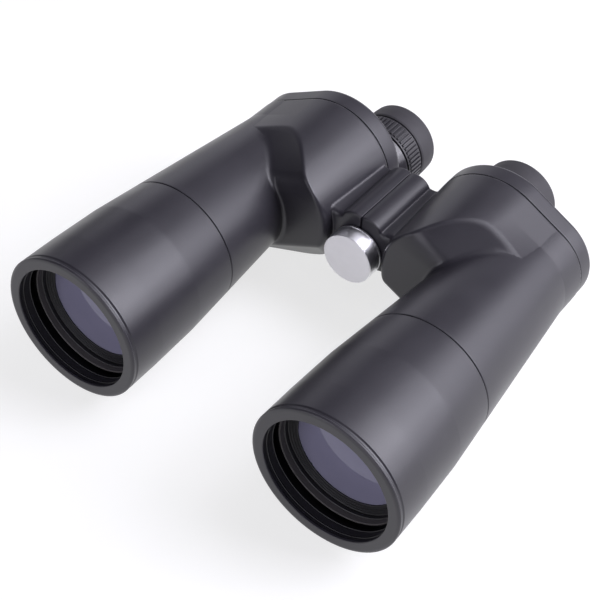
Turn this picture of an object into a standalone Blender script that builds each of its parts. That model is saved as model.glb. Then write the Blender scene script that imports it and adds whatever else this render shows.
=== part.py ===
"""Full-size Porro prism binoculars with individually focused eyepieces.

Metres, +Z up. The objectives face -Y and the eyepieces +Y, and the barrels lie level with the hinge
fully opened. "d" is a distance behind the plane of the objective rims, and x and z of a piece are
measured from the hinge axis. The left half is the fixed one: side is -1 there and +1 on the right.
"""

import math

import bmesh
import bpy
from mathutils import Matrix, Vector

# ---------------------------------------------------------------- driving dimensions
GAP = 0.0003  # between two pieces that touch

BARREL_X = 0.0685  # hinge axis to objective axis
EYE_INWARD = 0.0327  # objective axis to eyepiece axis, towards the hinge
EYE_DROP = 0.0083  # and downwards
BUMP_INWARD = 0.0225  # objective axis to the centre of the prism bump
BUMP_RISE = 0.0040

# objective barrel
RIM_RADIUS = 0.0365
RIM_FILLET = 0.0020
RIM_WALL = 0.0053
SHOULDER_D = 0.0469  # where the barrel starts to taper
SHOULDER_RADIUS = 0.0352
BARREL_LENGTH = 0.0732  # rim to the seam with the prism housing
BARREL_WALL = 0.0035
TAPER = 0.0870  # radius lost per length behind the shoulder
SPIGOT_LENGTH = 0.0080
SPIGOT_WALL = 0.0020
RING_SEAT_D = 0.0110  # rim to the front of the cell retaining ring
RING_LENGTH = 0.0047
RING_WALL = 0.0012
CELL_LENGTH = 0.0157
CELL_LIP = 0.0016
CELL_WALL = 0.0045  # round the lenses
LENS_SEAT_LAND = 0.0008
CROWN_THICKNESS = 0.0052
FLINT_THICKNESS = 0.0030
LENS_BULGE = 0.0016
LENS_RING_LENGTH = 0.0025

# prism housing
CONE_LENGTH = 0.0443  # seam to the front wall of the bump
BUMP_ROOM = 0.0086  # corner of a prism to the outside of the bump, at the rear
BUMP_TAPER = 0.0022  # radius that the bump loses on the way to its front wall
EYE_BOSS_RADIUS = 0.0186  # housing round the eyepiece axis
REAR_STRAIGHT = 0.0160  # end of the taper to the cover
HOUSING_WALL = 0.0026
FRONT_WALL = 0.0028
WALL_SLOPE_X = 0.49  # the upper front wall runs back this much per length outwards
WALL_SLOPE_Z = 1.37  # and this much per length upwards
WALL_BEND_RISE = 0.0185  # height above the bump centre where the wall starts to lean back
LOWER_EDGE_DROP = 0.0077  # bump centre down to the inner end of the front wall's lower edge
LOWER_EDGE_TILT = 0.50  # fall of that edge per length outwards
COVER_DEPTH = 0.0105
COVER_PLATE = 0.0030
COVER_RIM = 0.0075
COVER_CHAMFER = 0.0015
BOSS_RADIUS = 0.0032
BOSS_LENGTH = 0.0110
BOSS_INSET = 0.0052  # outline to screw centre
COVER_SCREW_ANGLES = (105.0, 172.0, -40.0)  # outward directions, in degrees from +X towards +Z
OUTLINE_SIDES = 40

# prisms
PRISM_FACE = 0.0200
PRISM_CORNER = 0.0010
PRISM_ROOM = 0.0035  # front wall to the edge of the front prism
PRISM_INTO_COVER = 0.0012
SHELF_THICKNESS = 0.0020
SHELF_WINDOW_RADIUS = 0.0088
STRAP_THICKNESS = 0.0008
STRAP_WIDTH = 0.0070
STRAP_FOOT = 0.0022

# hinge
HINGE_BEHIND_WALL = 0.0065
HINGE_TO_COVER = 0.00206  # rear end of the hinge arms to the rear cover's seam
END_KNUCKLE = 0.0100
KNUCKLE_RADIUS = 0.0095
CROWN_RADIUS = 0.0190  # top of the hinge shells
CROWN_END_X = 0.0075
VALLEY_X = 0.0105
VALLEY_Z = 0.0155
VALLEY_WIDTH = 0.0020
SHOULDER_Z = 0.0175  # where an arm meets the prism bump
UNDERSIDE_RADIUS = 0.0135
UNDERSIDE_Z = -0.0085
FOLD_HALF_ANGLE = 27.5  # half of the open wedge below the hinge, in degrees
AXLE_RADIUS = 0.0050
BUSH_WALL = 0.0010
AXLE_FLANGE_RADIUS = 0.0092
AXLE_FLANGE = 0.0025
WASHER_THICKNESS = 0.0012
NUT_RADIUS = 0.0080
NUT_LENGTH = 0.0040
CAP_RADIUS = 0.01335
CAP_LENGTH = 0.0093
CAP_WALL = 0.0022
CAP_BEVEL = 0.0006
STUD_RADIUS = 0.0030
STUD_LENGTH = 0.0115
STUD_END_ROOM = 0.0020
DISC_WALL = 0.0012
DISC_PLATE = 0.0016

# eyepiece
GUIDE_NECK_WALL = 0.0015  # the guide's wall inside the cover
GUIDE_BASE_WALL = 0.0026
GUIDE_END_WALL = 0.0051
GUIDE_LENGTH = 0.0140
RING_TO_GUIDE = 0.0005
FOCUS_RING_RADIUS = 0.0205
FOCUS_RING_LENGTH = 0.0114
RIB_COUNT = 28
RIB_DEPTH = 0.0009
OCULAR_RADIUS = 0.0140
OCULAR_WALL = 0.0016
OCULAR_REACH = 0.0045  # the ocular tube inside the cover
EYECUP_LENGTH = 0.0126
EYECUP_RADIUS = 0.0202
EYECUP_WALL = 0.0024
EYECUP_BASE = 0.0030
EYE_LENS_THICKNESS = 0.0042
FIELD_LENS_THICKNESS = 0.0040
EYE_LENS_BULGE = 0.0010
EYE_RING_LENGTH = 0.0016

# fasteners
SCREW_RADIUS = 0.00125
SCREW_HEAD_RADIUS = 0.0023
SCREW_HEAD = 0.0013
SCREW_SLOT = 0.0006

FINE = 32  # sides of the large turned pieces
COARSE = 16  # sides of the middle ones
SMALL = 12  # sides of screws and their holes
SHARP_ANGLE = math.radians(30)  # edges over this are shaded sharp

# ---------------------------------------------------------------- sizes and places that follow
RIM_BORE = RIM_RADIUS - RIM_WALL
CELL_RADIUS = RIM_BORE - GAP
LENS_RADIUS = CELL_RADIUS - CELL_WALL - GAP
OCULAR_BORE = OCULAR_RADIUS + GAP
GUIDE_NECK_RADIUS = OCULAR_BORE + GUIDE_NECK_WALL

SEAM_D = BARREL_LENGTH
WALL_D = SEAM_D + CONE_LENGTH
HINGE_D = WALL_D + HINGE_BEHIND_WALL
CAP_D = HINGE_D - GAP - CAP_LENGTH
AXIS_X = {"objective": BARREL_X, "eye": BARREL_X - EYE_INWARD, "bump": BARREL_X - BUMP_INWARD}
AXIS_Z = {"objective": 0.0, "eye": -EYE_DROP, "bump": BUMP_RISE}

# The two prisms step the light sideways twice, at right angles and by the same amount.
STEP = math.hypot(EYE_INWARD, EYE_DROP) / math.sqrt(2)
PRISM_LENGTH = STEP + PRISM_FACE
PRISM_DEPTH = PRISM_LENGTH / 2
BUMP_RADIUS_REAR = math.hypot(PRISM_LENGTH, PRISM_FACE) / 2 + BUMP_ROOM
BUMP_RADIUS_FRONT = BUMP_RADIUS_REAR - BUMP_TAPER
EYE_BEARING = math.atan2(-EYE_DROP, -EYE_INWARD)
FIRST_STEP = Vector((math.cos(EYE_BEARING - math.pi / 4), math.sin(EYE_BEARING - math.pi / 4))) * STEP
SECOND_STEP = Vector((math.cos(EYE_BEARING + math.pi / 4), math.sin(EYE_BEARING + math.pi / 4))) * STEP

SHELF_D = WALL_D + FRONT_WALL + PRISM_ROOM + PRISM_DEPTH + GAP
COVER_D = SHELF_D + SHELF_THICKNESS + GAP + PRISM_DEPTH - PRISM_INTO_COVER
COVER_END_D = COVER_D + COVER_DEPTH
HINGE_END_D = COVER_D - HINGE_TO_COVER
RING_D = COVER_END_D + GUIDE_LENGTH + RING_TO_GUIDE
EYECUP_D = RING_D + FOCUS_RING_LENGTH + GAP
LENGTH = EYECUP_D + EYECUP_LENGTH
AXIS_HEIGHT = RIM_RADIUS  # the barrels lie on their rims

CELL_D = RING_SEAT_D + RING_LENGTH + GAP
LENS_D = CELL_D + CELL_LIP + GAP
FLINT_D = LENS_D + CROWN_THICKNESS + GAP
LENS_RING_D = FLINT_D + FLINT_THICKNESS + GAP
CELL_END_D = CELL_D + CELL_LENGTH
OCULAR_D = COVER_END_D - OCULAR_REACH
OCULAR_END_D = EYECUP_D + EYECUP_BASE


def y_of(d):
    """World Y of a distance behind the objective rims."""
    return d - LENGTH / 2


def barrel_radius(d):
    """Outer radius of the tapered part of a barrel."""
    return SHOULDER_RADIUS - TAPER * (d - SHOULDER_D)


# ---------------------------------------------------------------- scene and helpers
for startup_object in list(bpy.data.objects):
    bpy.data.objects.remove(startup_object, do_unlink=True)

PARTS = bpy.data.collections.new("binoculars")
CUTTERS = bpy.data.collections.new("cutters")
for collection in (PARTS, CUTTERS):
    bpy.context.scene.collection.children.link(collection)


def material(name, colour, roughness, metallic=0.0, transmission=0.0):
    made = bpy.data.materials.new(name)
    made.use_nodes = True
    shader = made.node_tree.nodes["Principled BSDF"]
    shader.inputs["Base Color"].default_value = (*colour, 1.0)
    shader.inputs["Roughness"].default_value = roughness
    shader.inputs["Metallic"].default_value = metallic
    shader.inputs["Transmission Weight"].default_value = transmission
    made.diffuse_color = (*colour, 1.0)
    return made


PAINT = material("painted_metal", (0.035, 0.034, 0.037), 0.42)
BLACK = material("black_anodised", (0.010, 0.010, 0.011), 0.55, 0.3)
GREY = material("grey_anodised", (0.20, 0.20, 0.20), 0.45, 0.8)
SILVER = material("satin_aluminium", (0.86, 0.86, 0.88), 0.25, 1.0)
STEEL = material("steel", (0.55, 0.55, 0.57), 0.30, 1.0)
BRASS = material("brass", (0.72, 0.52, 0.24), 0.30, 1.0)
RUBBER = material("rubber", (0.028, 0.028, 0.030), 0.75)
GLASS = material("coated_glass", (0.30, 0.34, 0.42), 0.03, 0.0, 0.8)
PRISM_GLASS = material("prism_glass", (0.78, 0.82, 0.80), 0.03, 0.0, 0.9)


def empty(name, x, z, parent=None):
    made = bpy.data.objects.new(name, None)
    made.empty_display_size = 0.02
    made.location = (x, 0.0, z)
    made.parent = parent
    PARTS.objects.link(made)
    return made


def add(name, mesh, owner, finish):
    """A part with its material, or a cutter where finish is None."""
    made = bpy.data.objects.new(name, mesh)
    made.parent = owner
    if finish is None:
        CUTTERS.objects.link(made)
        made.hide_render = True
        made.display_type = "WIRE"
    else:
        PARTS.objects.link(made)
        mesh.materials.append(finish)
    return made


def turned(name, profile, x, z, owner, finish, sides=COARSE):
    """A turned piece on an axis along Y. The profile is a list of (d, radius)."""
    points = [(radius, d) for d, radius in profile]
    around = points[1:] + points[:1]
    if sum(a[0] * b[1] - b[0] * a[1] for a, b in zip(points, around)) > 0:
        points.reverse()
    closed = min(radius for radius, _ in points) > 0
    edges = [(i, i + 1) for i in range(len(points) - 1)]
    if closed:
        edges.append((len(points) - 1, 0))
    mesh = bpy.data.meshes.new(name)
    mesh.from_pydata([(radius, 0.0, d) for radius, d in points], edges, [])
    made = add(name, mesh, owner, finish)
    made.location = (x, y_of(0.0), z)
    made.rotation_euler = (-math.pi / 2, 0.0, 0.0)
    screw = made.modifiers.new("turn", "SCREW")
    screw.steps = screw.render_steps = sides
    screw.use_merge_vertices = True
    screw.merge_threshold = 1e-6
    return made


def tube(name, d_from, d_to, outer, inner, x, z, owner, finish, sides=COARSE):
    profile = [(d_from, outer), (d_to, outer), (d_to, inner), (d_from, inner)]
    return turned(name, profile, x, z, owner, finish, sides)


def rod(name, d_from, d_to, radius, x, z, owner, finish, sides=COARSE):
    profile = [(d_from, 0.0), (d_from, radius), (d_to, radius), (d_to, 0.0)]
    return turned(name, profile, x, z, owner, finish, sides)


def mesh_of(name, build):
    bmesh.ops.recalc_face_normals(build, faces=build.faces)
    mesh = bpy.data.meshes.new(name)
    build.to_mesh(mesh)
    build.free()
    mesh.shade_smooth()
    mesh.set_sharp_from_angle(angle=SHARP_ANGLE)
    return mesh


def lofted(name, sections, owner, finish):
    """A solid through outlines of (x, z) points with equal counts, each at its own d."""
    build = bmesh.new()
    rings = [[build.verts.new((x, y_of(d), z)) for x, z in outline] for d, outline in sections]
    for ring, following in zip(rings, rings[1:]):
        for i in range(len(ring)):
            build.faces.new((ring[i - 1], ring[i], following[i], following[i - 1]))
    build.faces.new(rings[0])
    build.faces.new(rings[-1])
    return add(name, mesh_of(name, build), owner, finish)


def extruded(name, outline, d_from, d_to, owner, finish):
    """A flat outline of (x, z) points, extruded along Y."""
    build = bmesh.new()
    face = build.faces.new([build.verts.new((x, y_of(d_from), z)) for x, z in outline])
    grown = bmesh.ops.extrude_face_region(build, geom=[face])["geom"]
    moved = [item for item in grown if isinstance(item, bmesh.types.BMVert)]
    bmesh.ops.translate(build, verts=moved, vec=(0.0, d_to - d_from, 0.0))
    return add(name, mesh_of(name, build), owner, finish)


def boolean(target, operation, other):
    """Cuts or joins another object, which then no longer counts as a part."""
    modifier = target.modifiers.new(other.name, "BOOLEAN")
    modifier.operation = operation
    modifier.object = other


def cut(target, *others):
    for other in others:
        boolean(target, "DIFFERENCE", other)


def join(target, *others):
    for other in others:
        boolean(target, "UNION", other)


def arc(x, z, radius, start, end, count):
    """Points on an arc, with angles in degrees from +X towards +Z."""
    angles = [math.radians(start + (end - start) * i / (count - 1)) for i in range(count)]
    return [(x + radius * math.cos(a), z + radius * math.sin(a)) for a in angles]


def mirrored(points, side):
    return [(side * x, z) for x, z in points]


# ---------------------------------------------------------------- objective end
def cap_of_sphere(d, radius, bulge, count=3):
    """(d, radius) points from the rim of a lens face to its axis. A negative bulge is hollow."""
    return [(d - bulge * (1 - (1 - i / count) ** 2), radius * (1 - i / count)) for i in range(count + 1)]


def lens(name, d_front, d_back, radius, bulge_front, bulge_back, x, z, owner):
    front = cap_of_sphere(d_front, radius, bulge_front)
    back = cap_of_sphere(d_back, radius, -bulge_back)
    return turned(name, front[::-1] + back, x, z, owner, GLASS)


def objective(side, hand, half):
    x, z = side * AXIS_X["objective"], AXIS_Z["objective"]
    spigot_radius = barrel_radius(SEAM_D) - BARREL_WALL / 2
    spigot_d = SEAM_D - SPIGOT_LENGTH
    bore_behind = RIM_BORE - LENS_SEAT_LAND - CELL_LIP
    profile = [
        (RIM_FILLET, RIM_RADIUS),
        (RIM_FILLET * 0.3, RIM_RADIUS - RIM_FILLET * 0.3),
        (0.0, RIM_RADIUS - RIM_FILLET),
        (0.0, RIM_BORE),
        (CELL_END_D + GAP, RIM_BORE),
        (CELL_END_D + GAP, bore_behind),
        (spigot_d - GAP, bore_behind),
        (spigot_d - GAP, spigot_radius + GAP),
        (SEAM_D - GAP, spigot_radius + GAP),
        (SEAM_D - GAP, barrel_radius(SEAM_D)),
        (SHOULDER_D, SHOULDER_RADIUS),
    ]
    turned(f"{hand}_objective_barrel", profile, x, z, half, PAINT, FINE)

    cell = [
        (CELL_D, CELL_RADIUS),
        (CELL_END_D, CELL_RADIUS),
        (CELL_END_D, LENS_RADIUS + GAP),
        (LENS_D - GAP, LENS_RADIUS + GAP),
        (LENS_D - GAP, LENS_RADIUS - LENS_SEAT_LAND),
        (CELL_D, CELL_RADIUS - RING_WALL),
    ]
    turned(f"{hand}_objective_cell", cell, x, z, half, BLACK)
    ring_end = RING_SEAT_D + RING_LENGTH
    tube(f"{hand}_cell_retaining_ring", RING_SEAT_D, ring_end, CELL_RADIUS,
         CELL_RADIUS - RING_WALL, x, z, half, GREY, FINE)
    crown_back = LENS_D + CROWN_THICKNESS
    lens(f"{hand}_objective_crown_lens", LENS_D, crown_back, LENS_RADIUS, LENS_BULGE, LENS_BULGE,
         x, z, half)
    lens(f"{hand}_objective_flint_lens", FLINT_D, FLINT_D + FLINT_THICKNESS, LENS_RADIUS,
         -LENS_BULGE, 0.0, x, z, half)
    tube(f"{hand}_lens_lock_ring", LENS_RING_D, LENS_RING_D + LENS_RING_LENGTH, LENS_RADIUS,
         LENS_RADIUS - RING_WALL, x, z, half, BLACK)


# ---------------------------------------------------------------- prism housing
def housing_barrel_radius(d):
    """The taper stops a little short of the cover, so the cover stays flush with the housing."""
    return barrel_radius(min(d, COVER_D - REAR_STRAIGHT))


def housing_point(side, d, angle, inset=0.0):
    """Point of the housing's outline whose outward direction has this angle, moved inwards by inset.

    The outline is the hull of three circles: round the prisms, the objective axis and the eyepiece axis.
    """
    along = min(max((d - WALL_D) / (COVER_D - WALL_D), 0.0), 1.0)
    circles = [
        ("bump", BUMP_RADIUS_FRONT + (BUMP_RADIUS_REAR - BUMP_RADIUS_FRONT) * along),
        ("objective", housing_barrel_radius(d) - GAP),
        ("eye", EYE_BOSS_RADIUS),
    ]
    out = Vector((math.cos(math.radians(angle)), math.sin(math.radians(angle))))
    centres = [Vector((AXIS_X[axis], AXIS_Z[axis])) for axis, _ in circles]
    reach = [centre.dot(out) + radius for centre, (_, radius) in zip(centres, circles)]
    touched = reach.index(max(reach))
    point = centres[touched] + out * (circles[touched][1] - inset)
    return side * point.x, point.y


def housing_outline(side, d, inset=0.0):
    return [housing_point(side, d, 360.0 * i / OUTLINE_SIDES, inset) for i in range(OUTLINE_SIDES)]


def slope_cutter(name, side, point, normal, back, owner):
    """A block that takes away what lies in front of a sloping plane."""
    size = 4 * BUMP_RADIUS_REAR
    direction = Vector((side * normal[0], normal[1], normal[2])).normalized()
    turn = direction.to_track_quat("Z", "Y").to_matrix().to_4x4()
    plane = Vector((side * point[0], y_of(point[1]), point[2]))
    build = bmesh.new()
    bmesh.ops.create_cube(build, size=size)
    place = Matrix.Translation(plane + direction * (size / 2 - back)) @ turn
    bmesh.ops.transform(build, matrix=place, verts=build.verts)
    return add(name, mesh_of(name, build), owner, None)


def cut_front_slopes(target, side, back, owner):
    """The front wall leans back above its bend and below its lower edge."""
    inner = AXIS_X["bump"] - BUMP_RADIUS_FRONT
    bend = (AXIS_X["bump"], WALL_D, AXIS_Z["bump"] + WALL_BEND_RISE)
    edge = (inner, WALL_D, AXIS_Z["bump"] - LOWER_EDGE_DROP)
    leans = {
        "upper": (bend, (WALL_SLOPE_X, -1.0, WALL_SLOPE_Z)),
        "lower": (edge, (-WALL_SLOPE_Z * LOWER_EDGE_TILT, -1.0, -WALL_SLOPE_Z)),
    }
    for place, (point, normal) in leans.items():
        cut(target, slope_cutter(f"{target.name}_{place}_slope", side, point, normal, back, owner))


def arm_outline(side):
    """Section of a hinge arm: shell over the hinge, valley, shoulder, and a rounded underside."""
    seam = GAP / 2
    wall = AXIS_X["bump"] - BUMP_RADIUS_FRONT
    inside = wall + 3 * HOUSING_WALL
    wedge = 90 - FOLD_HALF_ANGLE
    crown_ends = [math.degrees(math.acos(x / CROWN_RADIUS)) for x in (seam, CROWN_END_X)]
    underside = math.degrees(math.asin(UNDERSIDE_Z / UNDERSIDE_RADIUS))
    points = arc(0.0, 0.0, CROWN_RADIUS, *crown_ends, 4)
    points += [(VALLEY_X, VALLEY_Z), (VALLEY_X + VALLEY_WIDTH, VALLEY_Z)]
    points += [(wall + HOUSING_WALL, SHOULDER_Z), (inside, SHOULDER_Z), (inside, UNDERSIDE_Z)]
    points += arc(0.0, 0.0, UNDERSIDE_RADIUS, underside, -wedge, 4)
    points += [(seam, -seam * math.tan(math.radians(wedge)))]
    return mirrored(points, side)


def hinge_arm(side, hand, half):
    """The left arm has a knuckle at each end of the hinge, and the right arm the one between."""
    arm = extruded(f"{hand}_arm", arm_outline(side), HINGE_D, HINGE_END_D, half, None)
    inner_front = HINGE_D + END_KNUCKLE
    inner_rear = HINGE_END_D - END_KNUCKLE
    inset = GAP / 2
    if side < 0:
        knuckles = [(HINGE_D + inset, inner_front - inset), (inner_rear + inset, HINGE_END_D - inset)]
        spaces = [(inner_front, inner_rear)]
        bore = AXLE_RADIUS + GAP
    else:
        knuckles = [(inner_front + GAP + inset, inner_rear - GAP - inset)]
        spaces = [(HINGE_D - GAP, inner_front + GAP), (inner_rear - GAP, HINGE_END_D + GAP)]
        bore = AXLE_RADIUS + BUSH_WALL + 2 * GAP
    for i, (start, end) in enumerate(spaces):
        cut(arm, rod(f"{hand}_knuckle_space_{i}", start, end, KNUCKLE_RADIUS + GAP,
                     0.0, 0.0, half, None, FINE))
    for i, (start, end) in enumerate(knuckles):
        join(arm, rod(f"{hand}_knuckle_{i}", start, end, KNUCKLE_RADIUS, 0.0, 0.0, half, None, FINE))
    cut(arm, rod(f"{hand}_axle_bore", HINGE_D - END_KNUCKLE, HINGE_END_D + END_KNUCKLE, bore,
                 0.0, 0.0, half, None))
    return arm


def cover_screw_places(side):
    return [housing_point(side, COVER_D, angle, BOSS_INSET) for angle in COVER_SCREW_ANGLES]


def prism_housing(side, hand, half):
    stations = (WALL_D, COVER_D - REAR_STRAIGHT, COVER_D)
    sections = [(d, housing_outline(side, d)) for d in stations]
    housing = lofted(f"{hand}_prism_housing", sections, half, PAINT)
    cut_front_slopes(housing, side, 0.0, half)

    x, z = side * AXIS_X["objective"], AXIS_Z["objective"]
    spigot_d = SEAM_D - SPIGOT_LENGTH
    spigot_radius = barrel_radius(SEAM_D) - BARREL_WALL / 2
    straight_d = COVER_D - REAR_STRAIGHT
    cone = [
        (spigot_d, 0.0),
        (spigot_d, spigot_radius),
        (SEAM_D, spigot_radius),
        (SEAM_D, barrel_radius(SEAM_D)),
        (straight_d, housing_barrel_radius(straight_d)),
        (COVER_D, housing_barrel_radius(COVER_D)),
        (COVER_D, 0.0),
    ]
    join(housing, turned(f"{hand}_cone", cone, x, z, half, None, FINE))
    join(housing, hinge_arm(side, hand, half))

    past = COVER_D + COVER_DEPTH
    chamber_stations = (WALL_D + FRONT_WALL, straight_d, past)
    chamber_sections = [(d, housing_outline(side, d, HOUSING_WALL)) for d in chamber_stations]
    chamber = lofted(f"{hand}_prism_chamber", chamber_sections, half, None)
    cut_front_slopes(chamber, side, HOUSING_WALL, half)
    bore_radius = spigot_radius - SPIGOT_WALL
    profile = [
        (spigot_d - SPIGOT_LENGTH, 0.0),
        (spigot_d - SPIGOT_LENGTH, bore_radius),
        (SEAM_D, bore_radius),
        (straight_d, housing_barrel_radius(straight_d) - HOUSING_WALL),
        (past, housing_barrel_radius(straight_d) - HOUSING_WALL),
        (past, 0.0),
    ]
    join(chamber, turned(f"{hand}_light_bore", profile, x, z, half, None, FINE))
    for i, (boss_x, boss_z) in enumerate(cover_screw_places(side)):
        boss = rod(f"{hand}_boss_{i}", COVER_D - BOSS_LENGTH, past + HOUSING_WALL, BOSS_RADIUS,
                   boss_x, boss_z, half, None, SMALL)
        cut(boss, rod(f"{hand}_boss_hole_{i}", COVER_D - BOSS_LENGTH + HOUSING_WALL, past + COVER_DEPTH,
                      SCREW_RADIUS + GAP, boss_x, boss_z, half, None, SMALL))
        cut(chamber, boss)
    cut(housing, chamber)


def screw(name, head_d, tip_d, x, z, owner, finish):
    """A pan-head screw that points forwards, with a round drive recess."""
    head_end = head_d + SCREW_HEAD
    profile = [
        (tip_d, 0.0),
        (tip_d, SCREW_RADIUS),
        (head_d, SCREW_RADIUS),
        (head_d, SCREW_HEAD_RADIUS),
        (head_end, SCREW_HEAD_RADIUS),
        (head_end, SCREW_HEAD_RADIUS / 2),
        (head_end - SCREW_SLOT, 0.0),
    ]
    turned(name, profile, x, z, owner, finish, SMALL)


def rear_cover(side, hand, half):
    start = COVER_D + GAP
    sections = [
        (start, housing_outline(side, COVER_D)),
        (COVER_END_D - COVER_CHAMFER, housing_outline(side, COVER_D)),
        (COVER_END_D, housing_outline(side, COVER_D, COVER_CHAMFER)),
    ]
    cover = lofted(f"{hand}_rear_cover", sections, half, PAINT)
    pocket_sections = [(d, housing_outline(side, COVER_D, COVER_RIM))
                       for d in (start - COVER_PLATE, COVER_END_D - COVER_PLATE)]
    cut(cover, lofted(f"{hand}_cover_pocket", pocket_sections, half, None))
    cut(cover, rod(f"{hand}_eyepiece_hole", start - COVER_PLATE, COVER_END_D + COVER_PLATE,
                   GUIDE_NECK_RADIUS + GAP, side * AXIS_X["eye"], AXIS_Z["eye"], half, None, FINE))
    seat_d = COVER_END_D - SCREW_HEAD - 2 * GAP
    for i, (x, z) in enumerate(cover_screw_places(side)):
        seat = [
            (start - COVER_PLATE, 0.0),
            (start - COVER_PLATE, SCREW_RADIUS + GAP),
            (seat_d, SCREW_RADIUS + GAP),
            (seat_d, SCREW_HEAD_RADIUS + GAP),
            (COVER_END_D + COVER_PLATE, SCREW_HEAD_RADIUS + GAP),
            (COVER_END_D + COVER_PLATE, 0.0),
        ]
        cut(cover, turned(f"{hand}_screw_seat_{i}", seat, x, z, half, None, SMALL))
        screw(f"{hand}_cover_screw_{i + 1}", seat_d + GAP, COVER_D - BOSS_LENGTH + HOUSING_WALL + GAP,
              x, z, half, STEEL)


# ---------------------------------------------------------------- prisms
def prism_outline():
    """Half of a square block, cut along its diagonal, with the three corners ground off."""
    half, ground = PRISM_LENGTH / 2, PRISM_CORNER
    right = [(half - ground, GAP), (half - ground, ground + GAP), (ground, half - ground + GAP)]
    return right + [(-x, rise) for x, rise in reversed(right)]


def strap_outline():
    """A sheet-metal strap with a foot on either side of a prism."""
    side_x = PRISM_LENGTH / 2 - PRISM_CORNER + GAP
    top = PRISM_LENGTH / 2 - PRISM_CORNER + 2 * GAP
    slope = PRISM_LENGTH / 2 + 3 * GAP
    outer_slope = slope + STRAP_THICKNESS * math.sqrt(2)
    outer_x = side_x + STRAP_THICKNESS
    outer_top = top + STRAP_THICKNESS
    inner = [(slope - top, top), (side_x, slope - side_x), (side_x, GAP)]
    outer = [
        (side_x + STRAP_FOOT, GAP),
        (side_x + STRAP_FOOT, GAP + STRAP_THICKNESS),
        (outer_x, GAP + STRAP_THICKNESS),
        (outer_x, outer_slope - outer_x),
        (outer_slope - outer_top, outer_top),
    ]
    right = inner + outer
    left = [(-x, rise) for x, rise in reversed(right)]
    return right + left


def across_prism(name, outline, width, centre, bearing, face_d, points_to, half, finish):
    """Extrudes an outline of (along, rise from the shelf) points across a prism."""
    build = bmesh.new()
    corners = [build.verts.new((along, -width / 2, points_to * rise)) for along, rise in outline]
    face = build.faces.new(corners)
    grown = bmesh.ops.extrude_face_region(build, geom=[face])["geom"]
    moved = [item for item in grown if isinstance(item, bmesh.types.BMVert)]
    bmesh.ops.translate(build, verts=moved, vec=(0.0, width, 0.0))
    made = add(name, mesh_of(name, build), half, finish)
    made.location = (centre.x, y_of(face_d), centre.y)
    made.rotation_euler = (-math.pi / 2, -bearing, 0.0)
    made.rotation_mode = "XYZ"
    return made


def prisms(side, hand, half):
    start = Vector((AXIS_X["objective"], AXIS_Z["objective"]))
    middle = start + FIRST_STEP
    end = middle + SECOND_STEP
    shelf = extruded(f"{hand}_prism_shelf",
                     housing_outline(side, SHELF_D + SHELF_THICKNESS, HOUSING_WALL + 2 * GAP),
                     SHELF_D, SHELF_D + SHELF_THICKNESS, half, BLACK)
    for i, window in enumerate((start, middle, end)):
        cut(shelf, rod(f"{hand}_shelf_window_{i}", SHELF_D - SHELF_THICKNESS, SHELF_D + 2 * SHELF_THICKNESS,
                       SHELF_WINDOW_RADIUS, side * window.x, window.y, half, None))
    rear_face = SHELF_D + SHELF_THICKNESS
    for place, a, b, face_d, points_to in (("rear", start, middle, rear_face, 1),
                                           ("front", middle, end, SHELF_D, -1)):
        centre = Vector((side * (a.x + b.x) / 2, (a.y + b.y) / 2))
        bearing = math.atan2(b.y - a.y, side * (b.x - a.x))
        across_prism(f"{hand}_{place}_prism", prism_outline(), PRISM_FACE, centre, bearing, face_d,
                     points_to, half, PRISM_GLASS)
        across_prism(f"{hand}_{place}_prism_strap", strap_outline(), STRAP_WIDTH, centre, bearing,
                     face_d, points_to, half, STEEL)


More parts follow.
